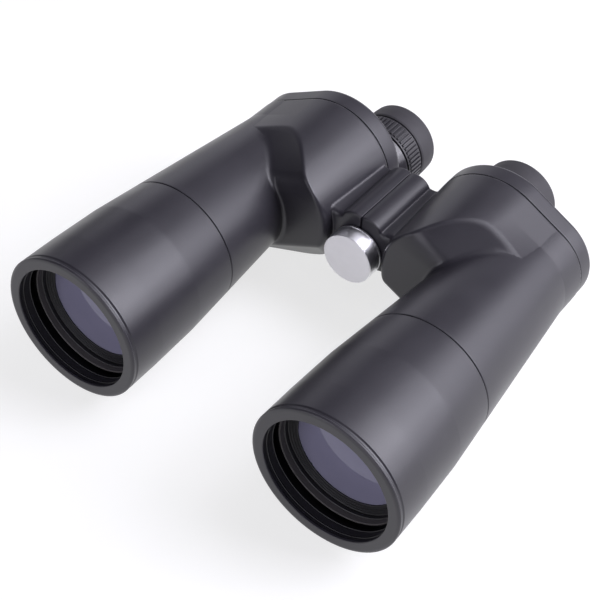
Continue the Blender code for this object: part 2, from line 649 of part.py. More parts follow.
# ---------------------------------------------------------------- hinge
def hinge(left_half, right_half):
    middle = (HINGE_D + HINGE_END_D) / 2
    bush_radius = AXLE_RADIUS + GAP
    knuckle_start = HINGE_D + END_KNUCKLE + GAP
    knuckle_end = HINGE_END_D - END_KNUCKLE - GAP
    tube("front_hinge_bush", knuckle_start, middle - GAP / 2, bush_radius + BUSH_WALL, bush_radius,
         0.0, 0.0, right_half, BRASS)
    tube("rear_hinge_bush", middle + GAP / 2, knuckle_end, bush_radius + BUSH_WALL, bush_radius,
         0.0, 0.0, right_half, BRASS)

    washer_d = HINGE_D - GAP - WASHER_THICKNESS
    tube("front_hinge_washer", washer_d, washer_d + WASHER_THICKNESS, AXLE_FLANGE_RADIUS, bush_radius,
         0.0, 0.0, left_half, STEEL)
    rear_washer_d = HINGE_END_D + GAP
    tube("rear_hinge_washer", rear_washer_d, rear_washer_d + WASHER_THICKNESS, AXLE_FLANGE_RADIUS,
         bush_radius, 0.0, 0.0, left_half, STEEL)
    nut_d = rear_washer_d + WASHER_THICKNESS + GAP
    nut_end = nut_d + NUT_LENGTH
    tube("hinge_tension_nut", nut_d, nut_end, NUT_RADIUS, bush_radius, 0.0, 0.0, left_half, STEEL)

    flange_end = washer_d - GAP
    flange_d = flange_end - AXLE_FLANGE
    floor_d = CAP_D + CAP_WALL
    stud_end = floor_d + STUD_LENGTH
    axle_end = nut_end + GAP
    screw_tip = HINGE_END_D - GAP
    axle = [
        (stud_end + STUD_END_ROOM, 0.0),
        (stud_end + STUD_END_ROOM, STUD_RADIUS + GAP),
        (flange_d, STUD_RADIUS + GAP),
        (flange_d, AXLE_FLANGE_RADIUS),
        (flange_end, AXLE_FLANGE_RADIUS),
        (flange_end, AXLE_RADIUS),
        (axle_end, AXLE_RADIUS),
        (axle_end, SCREW_RADIUS + GAP),
        (screw_tip - GAP, SCREW_RADIUS + GAP),
        (screw_tip - GAP, 0.0),
    ]
    turned("hinge_axle", axle, 0.0, 0.0, left_half, STEEL)

    cap = [
        (CAP_D, 0.0),
        (CAP_D, CAP_RADIUS - CAP_BEVEL),
        (CAP_D + CAP_BEVEL, CAP_RADIUS),
        (CAP_D + CAP_LENGTH, CAP_RADIUS),
        (CAP_D + CAP_LENGTH, CAP_RADIUS - CAP_WALL),
        (floor_d, CAP_RADIUS - CAP_WALL),
        (floor_d, STUD_RADIUS),
        (stud_end, STUD_RADIUS),
        (stud_end, 0.0),
    ]
    turned("tripod_socket_cap", cap, 0.0, 0.0, left_half, SILVER, FINE)

    disc_d = axle_end + GAP
    disc_end = disc_d + DISC_PLATE
    skirt = AXLE_FLANGE_RADIUS + GAP
    disc = [
        (rear_washer_d, skirt),
        (rear_washer_d, skirt + DISC_WALL),
        (disc_end, skirt + DISC_WALL),
        (disc_end, SCREW_RADIUS + GAP),
        (disc_d, SCREW_RADIUS + GAP),
        (disc_d, skirt),
    ]
    turned("eye_distance_disc", disc, 0.0, 0.0, left_half, PAINT, FINE)
    screw("disc_screw", disc_end + GAP, screw_tip, 0.0, 0.0, left_half, STEEL)


# ---------------------------------------------------------------- eyepieces
def rib_outline():
    """Outer edge of the focus ring, with its grip ribs."""
    points = []
    pitch = 360.0 / RIB_COUNT
    for rib in range(RIB_COUNT):
        for share, radius in ((0.0, FOCUS_RING_RADIUS), (0.5, FOCUS_RING_RADIUS),
                              (0.6, FOCUS_RING_RADIUS - RIB_DEPTH), (0.9, FOCUS_RING_RADIUS - RIB_DEPTH)):
            angle = math.radians(pitch * (rib + share))
            points.append((radius * math.cos(angle), radius * math.sin(angle)))
    return points


def eyepiece(side, hand, half):
    axis = empty(f"{hand}_eyepiece_axis", side * AXIS_X["eye"], AXIS_Z["eye"], half)
    guide_end = COVER_END_D + GUIDE_LENGTH
    guide = [
        (OCULAR_D - GAP, GUIDE_NECK_RADIUS),
        (COVER_END_D + GAP, GUIDE_NECK_RADIUS),
        (COVER_END_D + GAP, OCULAR_BORE + GUIDE_BASE_WALL),
        (guide_end, OCULAR_BORE + GUIDE_END_WALL),
        (guide_end, OCULAR_BORE),
        (OCULAR_D - GAP, OCULAR_BORE),
    ]
    turned(f"{hand}_eyepiece_guide", guide, 0.0, 0.0, axis, PAINT, FINE)

    inner = OCULAR_RADIUS - OCULAR_WALL
    tube(f"{hand}_ocular_tube", OCULAR_D, OCULAR_END_D, OCULAR_RADIUS, inner, 0.0, 0.0, axis, BLACK)
    lens_radius = inner - GAP
    field_d = OCULAR_D + OCULAR_WALL
    lens(f"{hand}_field_lens", field_d, field_d + FIELD_LENS_THICKNESS, lens_radius,
         EYE_LENS_BULGE, EYE_LENS_BULGE, 0.0, 0.0, axis)
    lock_d = OCULAR_END_D - EYE_RING_LENGTH
    eye_d = lock_d - GAP - EYE_LENS_THICKNESS - EYE_LENS_BULGE
    lens(f"{hand}_eye_lens", eye_d, eye_d + EYE_LENS_THICKNESS, lens_radius,
         EYE_LENS_BULGE, EYE_LENS_BULGE, 0.0, 0.0, axis)
    tube(f"{hand}_eye_lens_lock_ring", lock_d - EYE_LENS_BULGE, OCULAR_END_D, lens_radius,
         lens_radius - OCULAR_WALL, 0.0, 0.0, axis, BLACK)

    ring = extruded(f"{hand}_focus_ring", rib_outline(), RING_D, RING_D + FOCUS_RING_LENGTH, axis, BLACK)
    cut(ring, rod(f"{hand}_ring_bore", RING_D - RING_TO_GUIDE, RING_D + 2 * FOCUS_RING_LENGTH,
                  OCULAR_BORE, 0.0, 0.0, axis, None))
    cup = [
        (EYECUP_D, EYECUP_RADIUS),
        (LENGTH - EYECUP_WALL / 2, EYECUP_RADIUS - GAP),
        (LENGTH, EYECUP_RADIUS - EYECUP_WALL / 2),
        (LENGTH, EYECUP_RADIUS - EYECUP_WALL),
        (OCULAR_END_D + GAP, OCULAR_BORE),
        (EYECUP_D, OCULAR_BORE),
    ]
    turned(f"{hand}_eyecup", cup, 0.0, 0.0, axis, RUBBER, FINE)


# ---------------------------------------------------------------- the whole object
LEFT_HALF = empty("left_half", 0.0, AXIS_HEIGHT)
RIGHT_HALF = empty("right_half", 0.0, AXIS_HEIGHT)

for part_side, part_hand, part_half in ((-1, "left", LEFT_HALF), (1, "right", RIGHT_HALF)):
    objective(part_side, part_hand, part_half)
    prism_housing(part_side, part_hand, part_half)
    rear_cover(part_side, part_hand, part_half)
    prisms(part_side, part_hand, part_half)
    eyepiece(part_side, part_hand, part_half)
hinge(LEFT_HALF, RIGHT_HALF)
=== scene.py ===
"""Looks of a pair of full-size Porro prism binoculars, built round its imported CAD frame.

Sizes are in millimetres. d is the distance behind the plane of the objective rims, and x and z are
measured from the hinge axis. Shapes are worked out for the right half and mirrored for the left one.
"""

import math

import bmesh
import bpy
import numpy as np
from mathutils import Matrix, Vector

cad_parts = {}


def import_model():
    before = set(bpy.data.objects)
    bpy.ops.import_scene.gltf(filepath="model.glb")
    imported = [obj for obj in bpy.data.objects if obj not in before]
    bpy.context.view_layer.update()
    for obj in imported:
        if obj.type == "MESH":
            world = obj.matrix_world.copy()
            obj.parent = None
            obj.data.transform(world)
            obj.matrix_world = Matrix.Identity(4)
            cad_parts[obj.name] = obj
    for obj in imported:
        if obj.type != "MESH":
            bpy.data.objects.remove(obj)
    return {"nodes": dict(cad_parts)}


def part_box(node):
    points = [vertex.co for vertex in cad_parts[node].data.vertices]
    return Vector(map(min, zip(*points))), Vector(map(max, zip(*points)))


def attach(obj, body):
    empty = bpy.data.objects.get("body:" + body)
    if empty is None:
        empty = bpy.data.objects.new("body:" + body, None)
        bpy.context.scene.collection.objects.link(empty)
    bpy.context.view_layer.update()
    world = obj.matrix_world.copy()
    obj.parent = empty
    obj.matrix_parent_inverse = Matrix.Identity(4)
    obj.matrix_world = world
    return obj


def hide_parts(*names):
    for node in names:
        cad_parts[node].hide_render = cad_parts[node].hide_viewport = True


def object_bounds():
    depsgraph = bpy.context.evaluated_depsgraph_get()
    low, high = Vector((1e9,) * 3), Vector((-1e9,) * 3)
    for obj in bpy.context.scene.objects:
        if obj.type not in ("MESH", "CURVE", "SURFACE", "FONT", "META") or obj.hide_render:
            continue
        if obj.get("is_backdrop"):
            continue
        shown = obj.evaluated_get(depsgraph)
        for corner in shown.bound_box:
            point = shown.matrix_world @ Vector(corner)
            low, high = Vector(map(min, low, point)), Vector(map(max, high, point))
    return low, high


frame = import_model()
cad_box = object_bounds()

# ---------------------------------------------------------------- the frame
MM = 0.001
SIDES = {"left": -1.0, "right": 1.0}


def box_mm(node):
    return [np.array(corner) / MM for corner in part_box(node)]


def middle(node):
    low, high = box_mm(node)
    return (low + high) / 2


FRONT_Y = box_mm("right_objective_barrel")[0][1]
AXIS_Z = middle("tripod_socket_cap")[2]


def span(node):
    """Where a node starts and ends along d."""
    low, high = box_mm(node)
    return low[1] - FRONT_Y, high[1] - FRONT_Y


BARREL_X = middle("right_objective_barrel")[0]
EYE_X = middle("right_eyecup")[0]
EYE_Z = middle("right_eyecup")[2] - AXIS_Z
SEAM_D = span("right_objective_barrel")[1]
COVER_D, COVER_END_D = span("right_rear_cover")
GUIDE_D, GUIDE_END_D = span("right_eyepiece_guide")
RING_D, RING_END_D = span("right_focus_ring")
CUP_D, CUP_END_D = span("right_eyecup")

# ---------------------------------------------------------------- sizes
GAP = 0.3
RIM_RADIUS = 36.5
RIM_BORE = 31.2
RIM_BEAD = 1.8  # how far the rim's rounded front rises towards its widest place
BARREL_BORE = 28.8
SHOULDER_D = 46.9
SHOULDER_RADIUS = 35.2
TAPER = 0.087
BARREL_TAPER_END = COVER_D - 16.0
SPIGOT_LENGTH = 8.0  # of the housing's spigot in the barrel's socket
SPIGOT_INSET = 2.2
SPIGOT_WALL = 2.0
SOCKET_INSET = 1.9
CELL_RADIUS = 30.85
LENS_RADIUS = 26.05

BUMP = (46.0, 4.0)
BUMP_FRONT_RADIUS = 30.5
BUMP_REAR_RADIUS = 32.7
EYE_BOSS_RADIUS = 18.6
TOP_DROP = 0.2  # the bump's flat top runs this far below the barrel's tangent
HOUSING_WALL = 2.6
FRONT_WALL = 2.7  # how thick the bump's front wall is

WALL_D = 117.5
WALL_LEAN = (131.07, 0.596, 1.472, 0.0289)  # d at (50, 30), then its change with x, z and x * z
WALL_LOW = (117.5, 0.45, 0.9)  # d at the inner lower corner, then its change with x and z
WALL_LOW_CORNER = (15.5, -3.7)

HINGE_D = 124.0
HINGE_END_D = 167.0
CROWN = (3.5, 11.4)
CROWN_RADIUS = 8.5
VALLEY = (12.4, 15.3, 0.03)  # x and z of the bottom, and the curve
UNDER_Z = -8.5
UNDER_RADIUS = 13.5
FOLD_HALF_ANGLE = math.radians(27.5)
KNUCKLE = 10.0
KNUCKLE_RADIUS = 9.5
SEAM_HALF_GAP = 0.15
ARM_END_X = 26.0
AXLE_BORE = {"left": 5.3, "right": 6.6}  # the right half's is wider, for the bushes

SCREW_ANGLES = (105.0, 172.0, -40.0)
SCREW_INSET = 5.2
SCREW_BOSS = (3.2, 11.0)  # radius, and length in front of the cover
SCREW_HOLE = (1.6, 8.6)
SCREW_HEAD = 1.3
COVER_FILLET = 2.4
COVER_BORE = 16.1
GUIDE_BORE = 14.4

HOUSING_STEP = 0.6  # spacing of the lattice that the housings are drawn through
FACES_KEPT = 0.45
FARTHEST_MOVE = 0.3  # of a point towards the surface, in one round
SLOPE_REACH = 0.02


def barrel_radius(d):
    return SHOULDER_RADIUS - TAPER * (d - SHOULDER_D)


# ---------------------------------------------------------------- materials
def new_material(name, colour, roughness, metallic=0.0):
    made = bpy.data.materials.new(name)
    made.use_nodes = True
    bsdf = made.node_tree.nodes["Principled BSDF"]
    bsdf.inputs["Base Color"].default_value = (*colour, 1.0)
    bsdf.inputs["Roughness"].default_value = roughness
    bsdf.inputs["Metallic"].default_value = metallic
    made.diffuse_color = (*colour, 1.0)
    return made


def node(made, kind, inputs=None, **settings):
    new = made.node_tree.nodes.new(kind)
    for key, value in settings.items():
        setattr(new, key, value)
    for key, value in (inputs or {}).items():
        if isinstance(value, bpy.types.NodeSocket):
            made.node_tree.links.new(value, new.inputs[key])
        else:
            new.inputs[key].default_value = value
    return new


def noise(made, where, scale, detail=2.0):
    inputs = {"Vector": where, "Scale": scale, "Detail": detail}
    return node(made, "ShaderNodeTexNoise", inputs).outputs["Fac"]


def remap(made, value, low, high, to_low, to_high):
    inputs = {"Value": value, "From Min": low, "From Max": high, "To Min": to_low, "To Max": to_high}
    return node(made, "ShaderNodeMapRange", inputs).outputs["Result"]


def mixed(made, share, first, second):
    mix = node(made, "ShaderNodeMix", data_type="RGBA")
    made.node_tree.links.new(share, mix.inputs["Factor"])
    for slot, colour in (("A", first), ("B", second)):
        socket = next(s for s in mix.inputs if s.name == slot and s.type == "RGBA")
        if isinstance(colour, bpy.types.NodeSocket):
            made.node_tree.links.new(colour, socket)
        else:
            socket.default_value = (*colour, 1.0)
    return next(s for s in mix.outputs if s.type == "RGBA")


def drive(made, socket, value):
    made.node_tree.links.new(value, made.node_tree.nodes["Principled BSDF"].inputs[socket])


def set_bump(made, height, strength, distance):
    bump = node(made, "ShaderNodeBump", {"Height": height, "Strength": strength, "Distance": distance * MM})
    drive(made, "Normal", bump.outputs["Normal"])


def object_space(made):
    return node(made, "ShaderNodeTexCoord").outputs["Object"]


def painted(name, colour, roughness, grain=0.22, grain_size=0.35):
    """Fine-grained satin paint or anodising, with a soft change of tone and a few specks of dust."""
    made = new_material(name, colour, roughness)
    where = object_space(made)
    broad = noise(made, where, 35.0)
    fine = noise(made, where, 1.0 / (grain_size * MM), 3.0)
    lighter = [min(1.0, c * 1.22 + 0.002) for c in colour]
    tone = mixed(made, broad, [c * 0.86 for c in colour], lighter)
    speckle = remap(made, fine, 0.35, 0.75, 0.0, 0.35)
    tone = mixed(made, speckle, tone, [c * 1.6 + 0.004 for c in colour])
    flecks = node(made, "ShaderNodeTexVoronoi", {"Vector": where, "Scale": 110.0}, feature="F1")
    fleck = remap(made, flecks.outputs["Distance"], 0.016, 0.010, 0.0, 1.0)
    rare = remap(made, noise(made, where, 75.0), 0.60, 0.62, 0.0, 0.45)
    dust = node(made, "ShaderNodeMath", {0: fleck, 1: rare}, operation="MULTIPLY").outputs[0]
    tone = mixed(made, dust, tone, (0.32, 0.31, 0.31))
    drive(made, "Base Color", tone)
    drive(made, "Roughness", remap(made, broad, 0.3, 0.7, roughness - 0.035, roughness + 0.035))
    set_bump(made, fine, grain, 0.05)
    return made


def turned_metal(name, colour, roughness, lines=0.12, metallic=1.0):
    """Metal with the fine circular lines of a lathe. The lines follow the axis along Y."""
    made = new_material(name, colour, roughness, metallic)
    where = object_space(made)
    parts = node(made, "ShaderNodeSeparateXYZ", {"Vector": where})
    flat = node(made, "ShaderNodeCombineXYZ", {"X": parts.outputs["X"], "Z": parts.outputs["Z"]})
    offset = node(made, "ShaderNodeVectorMath", {0: flat.outputs[0], 1: (0.0, 0.0, AXIS_Z * MM)},
                  operation="SUBTRACT")
    radius = node(made, "ShaderNodeVectorMath", {0: offset.outputs[0]}, operation="LENGTH").outputs["Value"]
    along = node(made, "ShaderNodeCombineXYZ", {"X": radius, "Y": parts.outputs["Y"]}).outputs[0]
    rings = noise(made, along, 5200.0, 2.0)
    broad = noise(made, where, 160.0)
    drive(made, "Roughness", remap(made, rings, 0.3, 0.7, roughness * 0.8, roughness * 1.25))
    lighter = [min(1.0, c * 1.03) for c in colour]
    drive(made, "Base Color", mixed(made, broad, [c * 0.95 for c in colour], lighter))
    set_bump(made, rings, lines, 0.02)
    return made


def plain_metal(name, colour, roughness):
    """Machined metal with fine scratches."""
    made = new_material(name, colour, roughness, 1.0)
    where = object_space(made)
    scratches = noise(made, where, 900.0, 4.0)
    drive(made, "Roughness", remap(made, scratches, 0.3, 0.7, roughness * 0.75, roughness * 1.3))
    drive(made, "Base Color", mixed(made, noise(made, where, 260.0), [c * 0.85 for c in colour], colour))
    set_bump(made, scratches, 0.12, 0.03)
    return made


def rubber(name, colour):
    """Matt moulded rubber with a fine grain."""
    made = new_material(name, colour, 0.62)
    where = object_space(made)
    fine = noise(made, where, 2400.0, 3.0)
    broad = noise(made, where, 90.0)
    drive(made, "Base Color", mixed(made, broad, [c * 0.85 for c in colour], [c * 1.25 for c in colour]))
    drive(made, "Roughness", remap(made, broad, 0.3, 0.7, 0.56, 0.68))
    set_bump(made, fine, 0.35, 0.06)
    return made


def glass(name, colour, tint, clear=1.0, index=1.62):
    """Optical glass with an anti-reflection coating and faint clouding. Its colour is the coating's tint, and
    in glass that lets little light through it also stands in for painted reflection of the bright studio.

    clear is the share of light that goes through it.
    """
    made = new_material(name, colour, 0.02)
    bsdf = made.node_tree.nodes["Principled BSDF"]
    bsdf.inputs["Transmission Weight"].default_value = clear
    bsdf.inputs["IOR"].default_value = index
    bsdf.inputs["Specular Tint"].default_value = (*tint, 1.0)
    where = object_space(made)
    haze = noise(made, where, 60.0, 4.0)
    drive(made, "Roughness", remap(made, haze, 0.4, 0.8, 0.015, 0.05))
    drive(made, "Base Color", mixed(made, haze, colour, [min(1.0, c * 1.15) for c in colour]))
    return made


PAINT = painted("charcoal_paint", (0.023, 0.0215, 0.0275), 0.36)
GUIDE_PAINT = painted("smooth_paint", (0.024, 0.0225, 0.027), 0.24, 0.06)
RING_BLACK = painted("ring_anodising", (0.022, 0.021, 0.025), 0.36, 0.12, 0.25)
HOOD_BLACK = painted("hood_black", (0.007, 0.0065, 0.008), 0.50, 0.10, 0.25)
RING_GREY = painted("ring_grey", (0.060, 0.055, 0.055), 0.55, 0.15, 0.25)
BLACKING = painted("optical_blacking", (0.004, 0.004, 0.004), 0.75, 0.2)
RUBBER = rubber("eyecup_rubber", (0.034, 0.032, 0.037))
CAP_FACE = turned_metal("cap_face", (0.88, 0.87, 0.90), 0.45, 0.03, 0.55)
CAP_SIDE = turned_metal("cap_side", (0.90, 0.90, 0.92), 0.34, 0.02)
STEEL = plain_metal("screw_steel", (0.50, 0.50, 0.52), 0.30)
BLACK_STEEL = plain_metal("blacked_steel", (0.06, 0.06, 0.065), 0.38)
BRASS = plain_metal("bush_brass", (0.72, 0.52, 0.24), 0.30)
# Painted reflection: the objective glass lets only 0.30 of the light through, and its violet-grey colour
# stands in for the studio reflected on the coated lens, partly the coating's own tint.
LENS_GLASS_AND_PAINTED_REFLECTION = glass("objective_glass_painted_reflection", (0.34, 0.33, 0.45), (0.80, 0.80, 1.0), 0.30, 1.45)
EYE_GLASS = glass("eye_glass", (0.80, 0.84, 0.90), (0.72, 0.86, 1.0))
PRISM_GLASS = glass("prism_glass", (0.86, 0.90, 0.88), (1.0, 1.0, 1.0))


# ---------------------------------------------------------------- mesh tools
def world(points):
    """Turns rows of (x, d, z) into the frame's metres."""
    points = np.asarray(points, float)
    return (points + np.array([0.0, FRONT_Y, AXIS_Z])) * MM


def mesh_object(name, points, faces, finish, normals=None):
    mesh = bpy.data.meshes.new(name)
    mesh.from_pydata(world(points).tolist(), [], [list(map(int, face)) for face in faces])
    mesh.materials.append(finish)
    mesh.shade_smooth()
    made = bpy.data.objects.new(name, mesh)
    bpy.context.scene.collection.objects.link(made)
    if normals is not None:
        mesh.normals_split_custom_set_from_vertices(normals.tolist())
    return made


def settle(made, body, *nodes, slot=None):
    """Puts a piece on its body, in place of CAD nodes."""
    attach(made, body)
    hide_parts(*nodes)
    return made


def smooth_by_angle(made, degrees=35.0):
    made.data.set_sharp_from_angle(angle=math.radians(degrees))
    weighted = made.modifiers.new("weighted", "WEIGHTED_NORMAL")
    weighted.keep_sharp = True
    return made


def rounded(corners, steps=4, closed=True):
    """A profile of (d, r) points, with each (d, r, fillet) corner replaced by an arc."""
    points = []
    count = len(corners)
    for i, corner in enumerate(corners):
        here = np.array(corner[:2], float)
        fillet = corner[2] if len(corner) > 2 else 0.0
        if fillet <= 0.0 or (not closed and i in (0, count - 1)):
            points.append(tuple(here))
            continue
        back = np.array(corners[i - 1][:2], float) - here
        on = np.array(corners[(i + 1) % count][:2], float) - here
        back_length, on_length = np.linalg.norm(back), np.linalg.norm(on)
        back, on = back / back_length, on / on_length
        half = math.acos(max(-1.0, min(1.0, float(back @ on)))) / 2
        reach = min(fillet / math.tan(half), 0.49 * back_length, 0.49 * on_length)
        radius = reach * math.tan(half)
        bisector = (back + on) / np.linalg.norm(back + on)
        centre = here + bisector * (radius / math.sin(half))
        start, end = here + back * reach - centre, here + on * reach - centre
        turn = math.acos(max(-1.0, min(1.0, float(start @ end) / radius**2)))
        sign = 1.0 if start[0] * end[1] - start[1] * end[0] > 0 else -1.0
        for k in range(steps + 1):
            a = sign * turn * k / steps
            c, s = math.cos(a), math.sin(a)
            turned = (c * start[0] - s * start[1], s * start[0] + c * start[1])
            points.append(tuple(centre + np.array(turned)))
    return points


def lathe(name, centre, profile, finish, segments=128, closed=True):
    """Turns a profile of (d, r) points round an axis along Y through centre, an (x, z) point.

    An open profile starts and ends on the axis.
    """
    area = sum(a[0] * b[1] - b[0] * a[1] for a, b in zip(profile, profile[1:] + profile[:1]))
    if area > 0:
        profile = profile[::-1]
    points, rows = [], []
    for d, r in profile:
        if r < 1e-6:
            rows.append([len(points)] * segments)
            points.append((centre[0], d, centre[1]))
            continue
        rows.append(list(range(len(points), len(points) + segments)))
        for k in range(segments):
            a = 2 * math.pi * k / segments
            points.append((centre[0] + r * math.cos(a), d, centre[1] + r * math.sin(a)))
    faces = []
    pairs = list(zip(rows, rows[1:] + rows[:1])) if closed else list(zip(rows, rows[1:]))
    for lower, upper in pairs:
        for k in range(segments):
            following = (k + 1) % segments
            face = [lower[k], upper[k], upper[following], lower[following]]
            face = [v for n, v in enumerate(face) if v != face[n - 1]]
            if len(face) > 2:
                faces.append(face)
    return smooth_by_angle(mesh_object(name, points, faces, finish))


def lens_profile(front_d, back_d, radius, front_bulge, back_bulge, steps=14):
    """A lens whose rim runs from front_d to back_d. A negative bulge hollows its face."""
    front = [(front_d - front_bulge * (1 - (i / steps) ** 2), radius * i / steps) for i in range(steps + 1)]
    back = [(back_d + back_bulge * (1 - (i / steps) ** 2), radius * i / steps) for i in range(steps, -1, -1)]
    return front + back


# ---------------------------------------------------------------- shapes as distance fields
def soft_max(a, b, blend):
    return np.maximum(a, b) + np.maximum(blend - np.abs(a - b), 0.0) ** 2 / (4 * blend)


def soft_min(a, b, blend):
    return -soft_max(-a, -b, blend)


def circle_pair(x, z, first, second):
    """Distance to the hull of two circles of (x, z, radius)."""
    length = math.hypot(second[0] - first[0], second[1] - first[1])
    ux, uz = (second[0] - first[0]) / length, (second[1] - first[1]) / length
    along = (x - first[0]) * ux + (z - first[1]) * uz
    across = np.abs((z - first[1]) * ux - (x - first[0]) * uz)
    sine = (first[2] - second[2]) / length
    cosine = np.sqrt(1 - sine * sine)
    run = cosine * along - sine * across
    to_first = np.hypot(along, across) - first[2]
    to_second = np.hypot(along - length, across) - second[2]
    between = cosine * across + sine * along - first[2]
    return np.where(run < 0, to_first, np.where(run > cosine * length, to_second, between))


def housing_section(x, d, z):
    """Distance to the prism housing's outline: the hull of circles round prisms, barrel and eyepiece."""
    along = np.clip((d - WALL_D) / (COVER_D - WALL_D), 0.0, 1.0)
    bump = (*BUMP, BUMP_FRONT_RADIUS + (BUMP_REAR_RADIUS - BUMP_FRONT_RADIUS) * along)
    barrel = (BARREL_X, 0.0, barrel_radius(np.minimum(d, BARREL_TAPER_END)) - TOP_DROP)
    eye = (EYE_X, EYE_Z, EYE_BOSS_RADIUS)
    pairs = [circle_pair(x, z, bump, barrel), circle_pair(x, z, bump, eye), circle_pair(x, z, barrel, eye)]
    return np.minimum(np.minimum(pairs[0], pairs[1]), pairs[2])


def front_wall(x, d, z):
    """Positive in front of the bump's front wall, which leans back above and below."""
    base, by_x, by_z, by_both = WALL_LEAN
    lean = base + by_x * (x - 50.0) + by_z * (z - 30.0) + by_both * (x - 50.0) * (z - 30.0) - d
    low_base, low_x, low_z = WALL_LOW
    low = low_base - low_x * (x - WALL_LOW_CORNER[0]) - low_z * (z - WALL_LOW_CORNER[1]) - d
    wall = soft_max(WALL_D - d, lean / math.hypot(1.0, by_x, by_z), 5.0)
    return soft_max(wall, low / math.hypot(1.0, low_x, low_z), 1.2)


def hinge_arm(x, d, z):
    """The arm from the housing to the hinge, with its crown beside the seam and a valley behind that."""
    crown = np.hypot(x - CROWN[0], z - CROWN[1]) - CROWN_RADIUS
    valley = z - VALLEY[1] - VALLEY[2] * (x - VALLEY[0]) ** 2
    form = soft_min(crown, valley, 0.5)
    under = np.minimum(UNDER_Z - z, np.hypot(x, z) - UNDER_RADIUS)
    form = soft_max(form, under, 1.5)
    wedge = -math.cos(FOLD_HALF_ANGLE) * x - math.sin(FOLD_HALF_ANGLE) * z
    form = soft_max(form, wedge, 0.8)
    form = soft_max(form, SEAM_HALF_GAP - x, 0.9)
    form = soft_max(form, HINGE_D - d, 1.0 + 2.2 * np.clip((x - 9.0) / 4.0, 0.0, 1.0))
    form = soft_max(form, d - HINGE_END_D, 1.0)
    return np.maximum(form, x - ARM_END_X)


def band(d, start, end):
    return np.maximum(start - d, d - end)


def housing_form(x, d, z, hand):
    """Distance to one prism housing, which is negative inside."""
    radius = barrel_radius(np.minimum(d, BARREL_TAPER_END))
    from_axis = np.hypot(x - BARREL_X, z)
    section = housing_section(x, d, z)
    wall = front_wall(x, d, z)
    cone = from_axis - radius
    fillet = np.maximum(2.4 - np.abs(wall - cone), 0.0) ** 2 / 9.6 * np.clip(-0.4 * section, 0.0, 1.0)
    edge = 1.2 + 3.0 * np.clip((24.0 - x) / 8.0, 0.0, 1.0)
    form = np.minimum(soft_max(section, wall, edge), cone) - fillet
    form = soft_max(form, SEAM_D + GAP - d, 0.7)
    form = soft_max(form, d - COVER_D + GAP, 0.6)

    from_hinge = np.hypot(x, z)
    knuckle_ends = {"left": [(HINGE_D, HINGE_D + KNUCKLE), (HINGE_END_D - KNUCKLE, HINGE_END_D)],
                    "right": [(HINGE_D + KNUCKLE + GAP, HINGE_END_D - KNUCKLE - GAP)]}
    arm = hinge_arm(x, d, z)
    for start, end in knuckle_ends["right" if hand == "left" else "left"]:
        room = np.maximum(from_hinge - KNUCKLE_RADIUS - GAP, band(d, start - 2 * GAP, end + 2 * GAP))
        arm = soft_max(arm, -room, 0.4)
    form = soft_min(form, arm, 0.8)
    for start, end in knuckle_ends[hand]:
        form = np.minimum(form, soft_max(from_hinge - KNUCKLE_RADIUS, band(d, start, end), 0.5))
    form = np.maximum(form, AXLE_BORE[hand] - from_hinge)

    spigot_radius = barrel_radius(SEAM_D) - SPIGOT_INSET
    spigot = np.maximum(from_axis - spigot_radius, band(d, SEAM_D - SPIGOT_LENGTH, SEAM_D + 3.0))
    form = np.minimum(form, spigot)
    chamber = np.maximum(section + HOUSING_WALL, wall + FRONT_WALL)
    tunnel = from_axis - np.where(d < SEAM_D + GAP, spigot_radius - SPIGOT_WALL, radius - HOUSING_WALL)
    hollow = np.minimum(chamber, tunnel)
    for boss_x, boss_z in screw_places():
        from_boss = np.hypot(x - boss_x, z - boss_z)
        hollow = np.maximum(hollow, -np.maximum(from_boss - SCREW_BOSS[0], COVER_D - SCREW_BOSS[1] - d))
        form = np.maximum(form, -np.maximum(from_boss - SCREW_HOLE[0], COVER_D - SCREW_HOLE[1] - d))
    return np.maximum(form, -hollow)


def outline_point(angle, inset):
    """Point of the housing's outline at COVER_D whose outward direction has this angle in degrees."""
    a = math.radians(angle)
    out = (math.cos(a), math.sin(a))
    circles = [(*BUMP, BUMP_REAR_RADIUS), (BARREL_X, 0.0, barrel_radius(BARREL_TAPER_END) - TOP_DROP),
               (EYE_X, EYE_Z, EYE_BOSS_RADIUS)]
    x, z, radius = max(circles, key=lambda c: c[0] * out[0] + c[1] * out[1] + c[2])
    return x + out[0] * (radius - inset), z + out[1] * (radius - inset)


def screw_places():
    return [outline_point(angle, SCREW_INSET) for angle in SCREW_ANGLES]


def lattice(form, low, high, step, coarse=4):
    """Values of a distance field on a lattice. Blocks far from the surface keep their coarse value."""
    counts = [int(math.ceil((h - l) / (step * coarse))) * coarse + 1 for l, h in zip(low, high)]
    axes = [l + step * np.arange(n) for l, n in zip(low, counts)]
    middles = [axis[:-1].reshape(-1, coarse).mean(1) + 0.5 * step for axis in axes]
    rough = form(*np.meshgrid(*middles, indexing="ij"))
    near = np.abs(rough) < step * coarse * 1.3
    values, wanted = rough, near
    for axis in range(3):
        values = np.repeat(values, coarse, axis)
        wanted = np.repeat(wanted, coarse, axis)
    pad = [(0, 1)] * 3
    values = np.pad(values, pad, mode="edge")
    wanted = np.pad(wanted, pad, mode="edge")
    for axis in range(3):
        grown = wanted.copy()
        lower, upper = [slice(None)] * 3, [slice(None)] * 3
        lower[axis], upper[axis] = slice(None, -1), slice(1, None)
        grown[tuple(upper)] |= wanted[tuple(lower)]
        wanted = grown
    i, j, k = np.nonzero(wanted)
    values[i, j, k] = form(axes[0][i], axes[1][j], axes[2][k])
    return axes, values


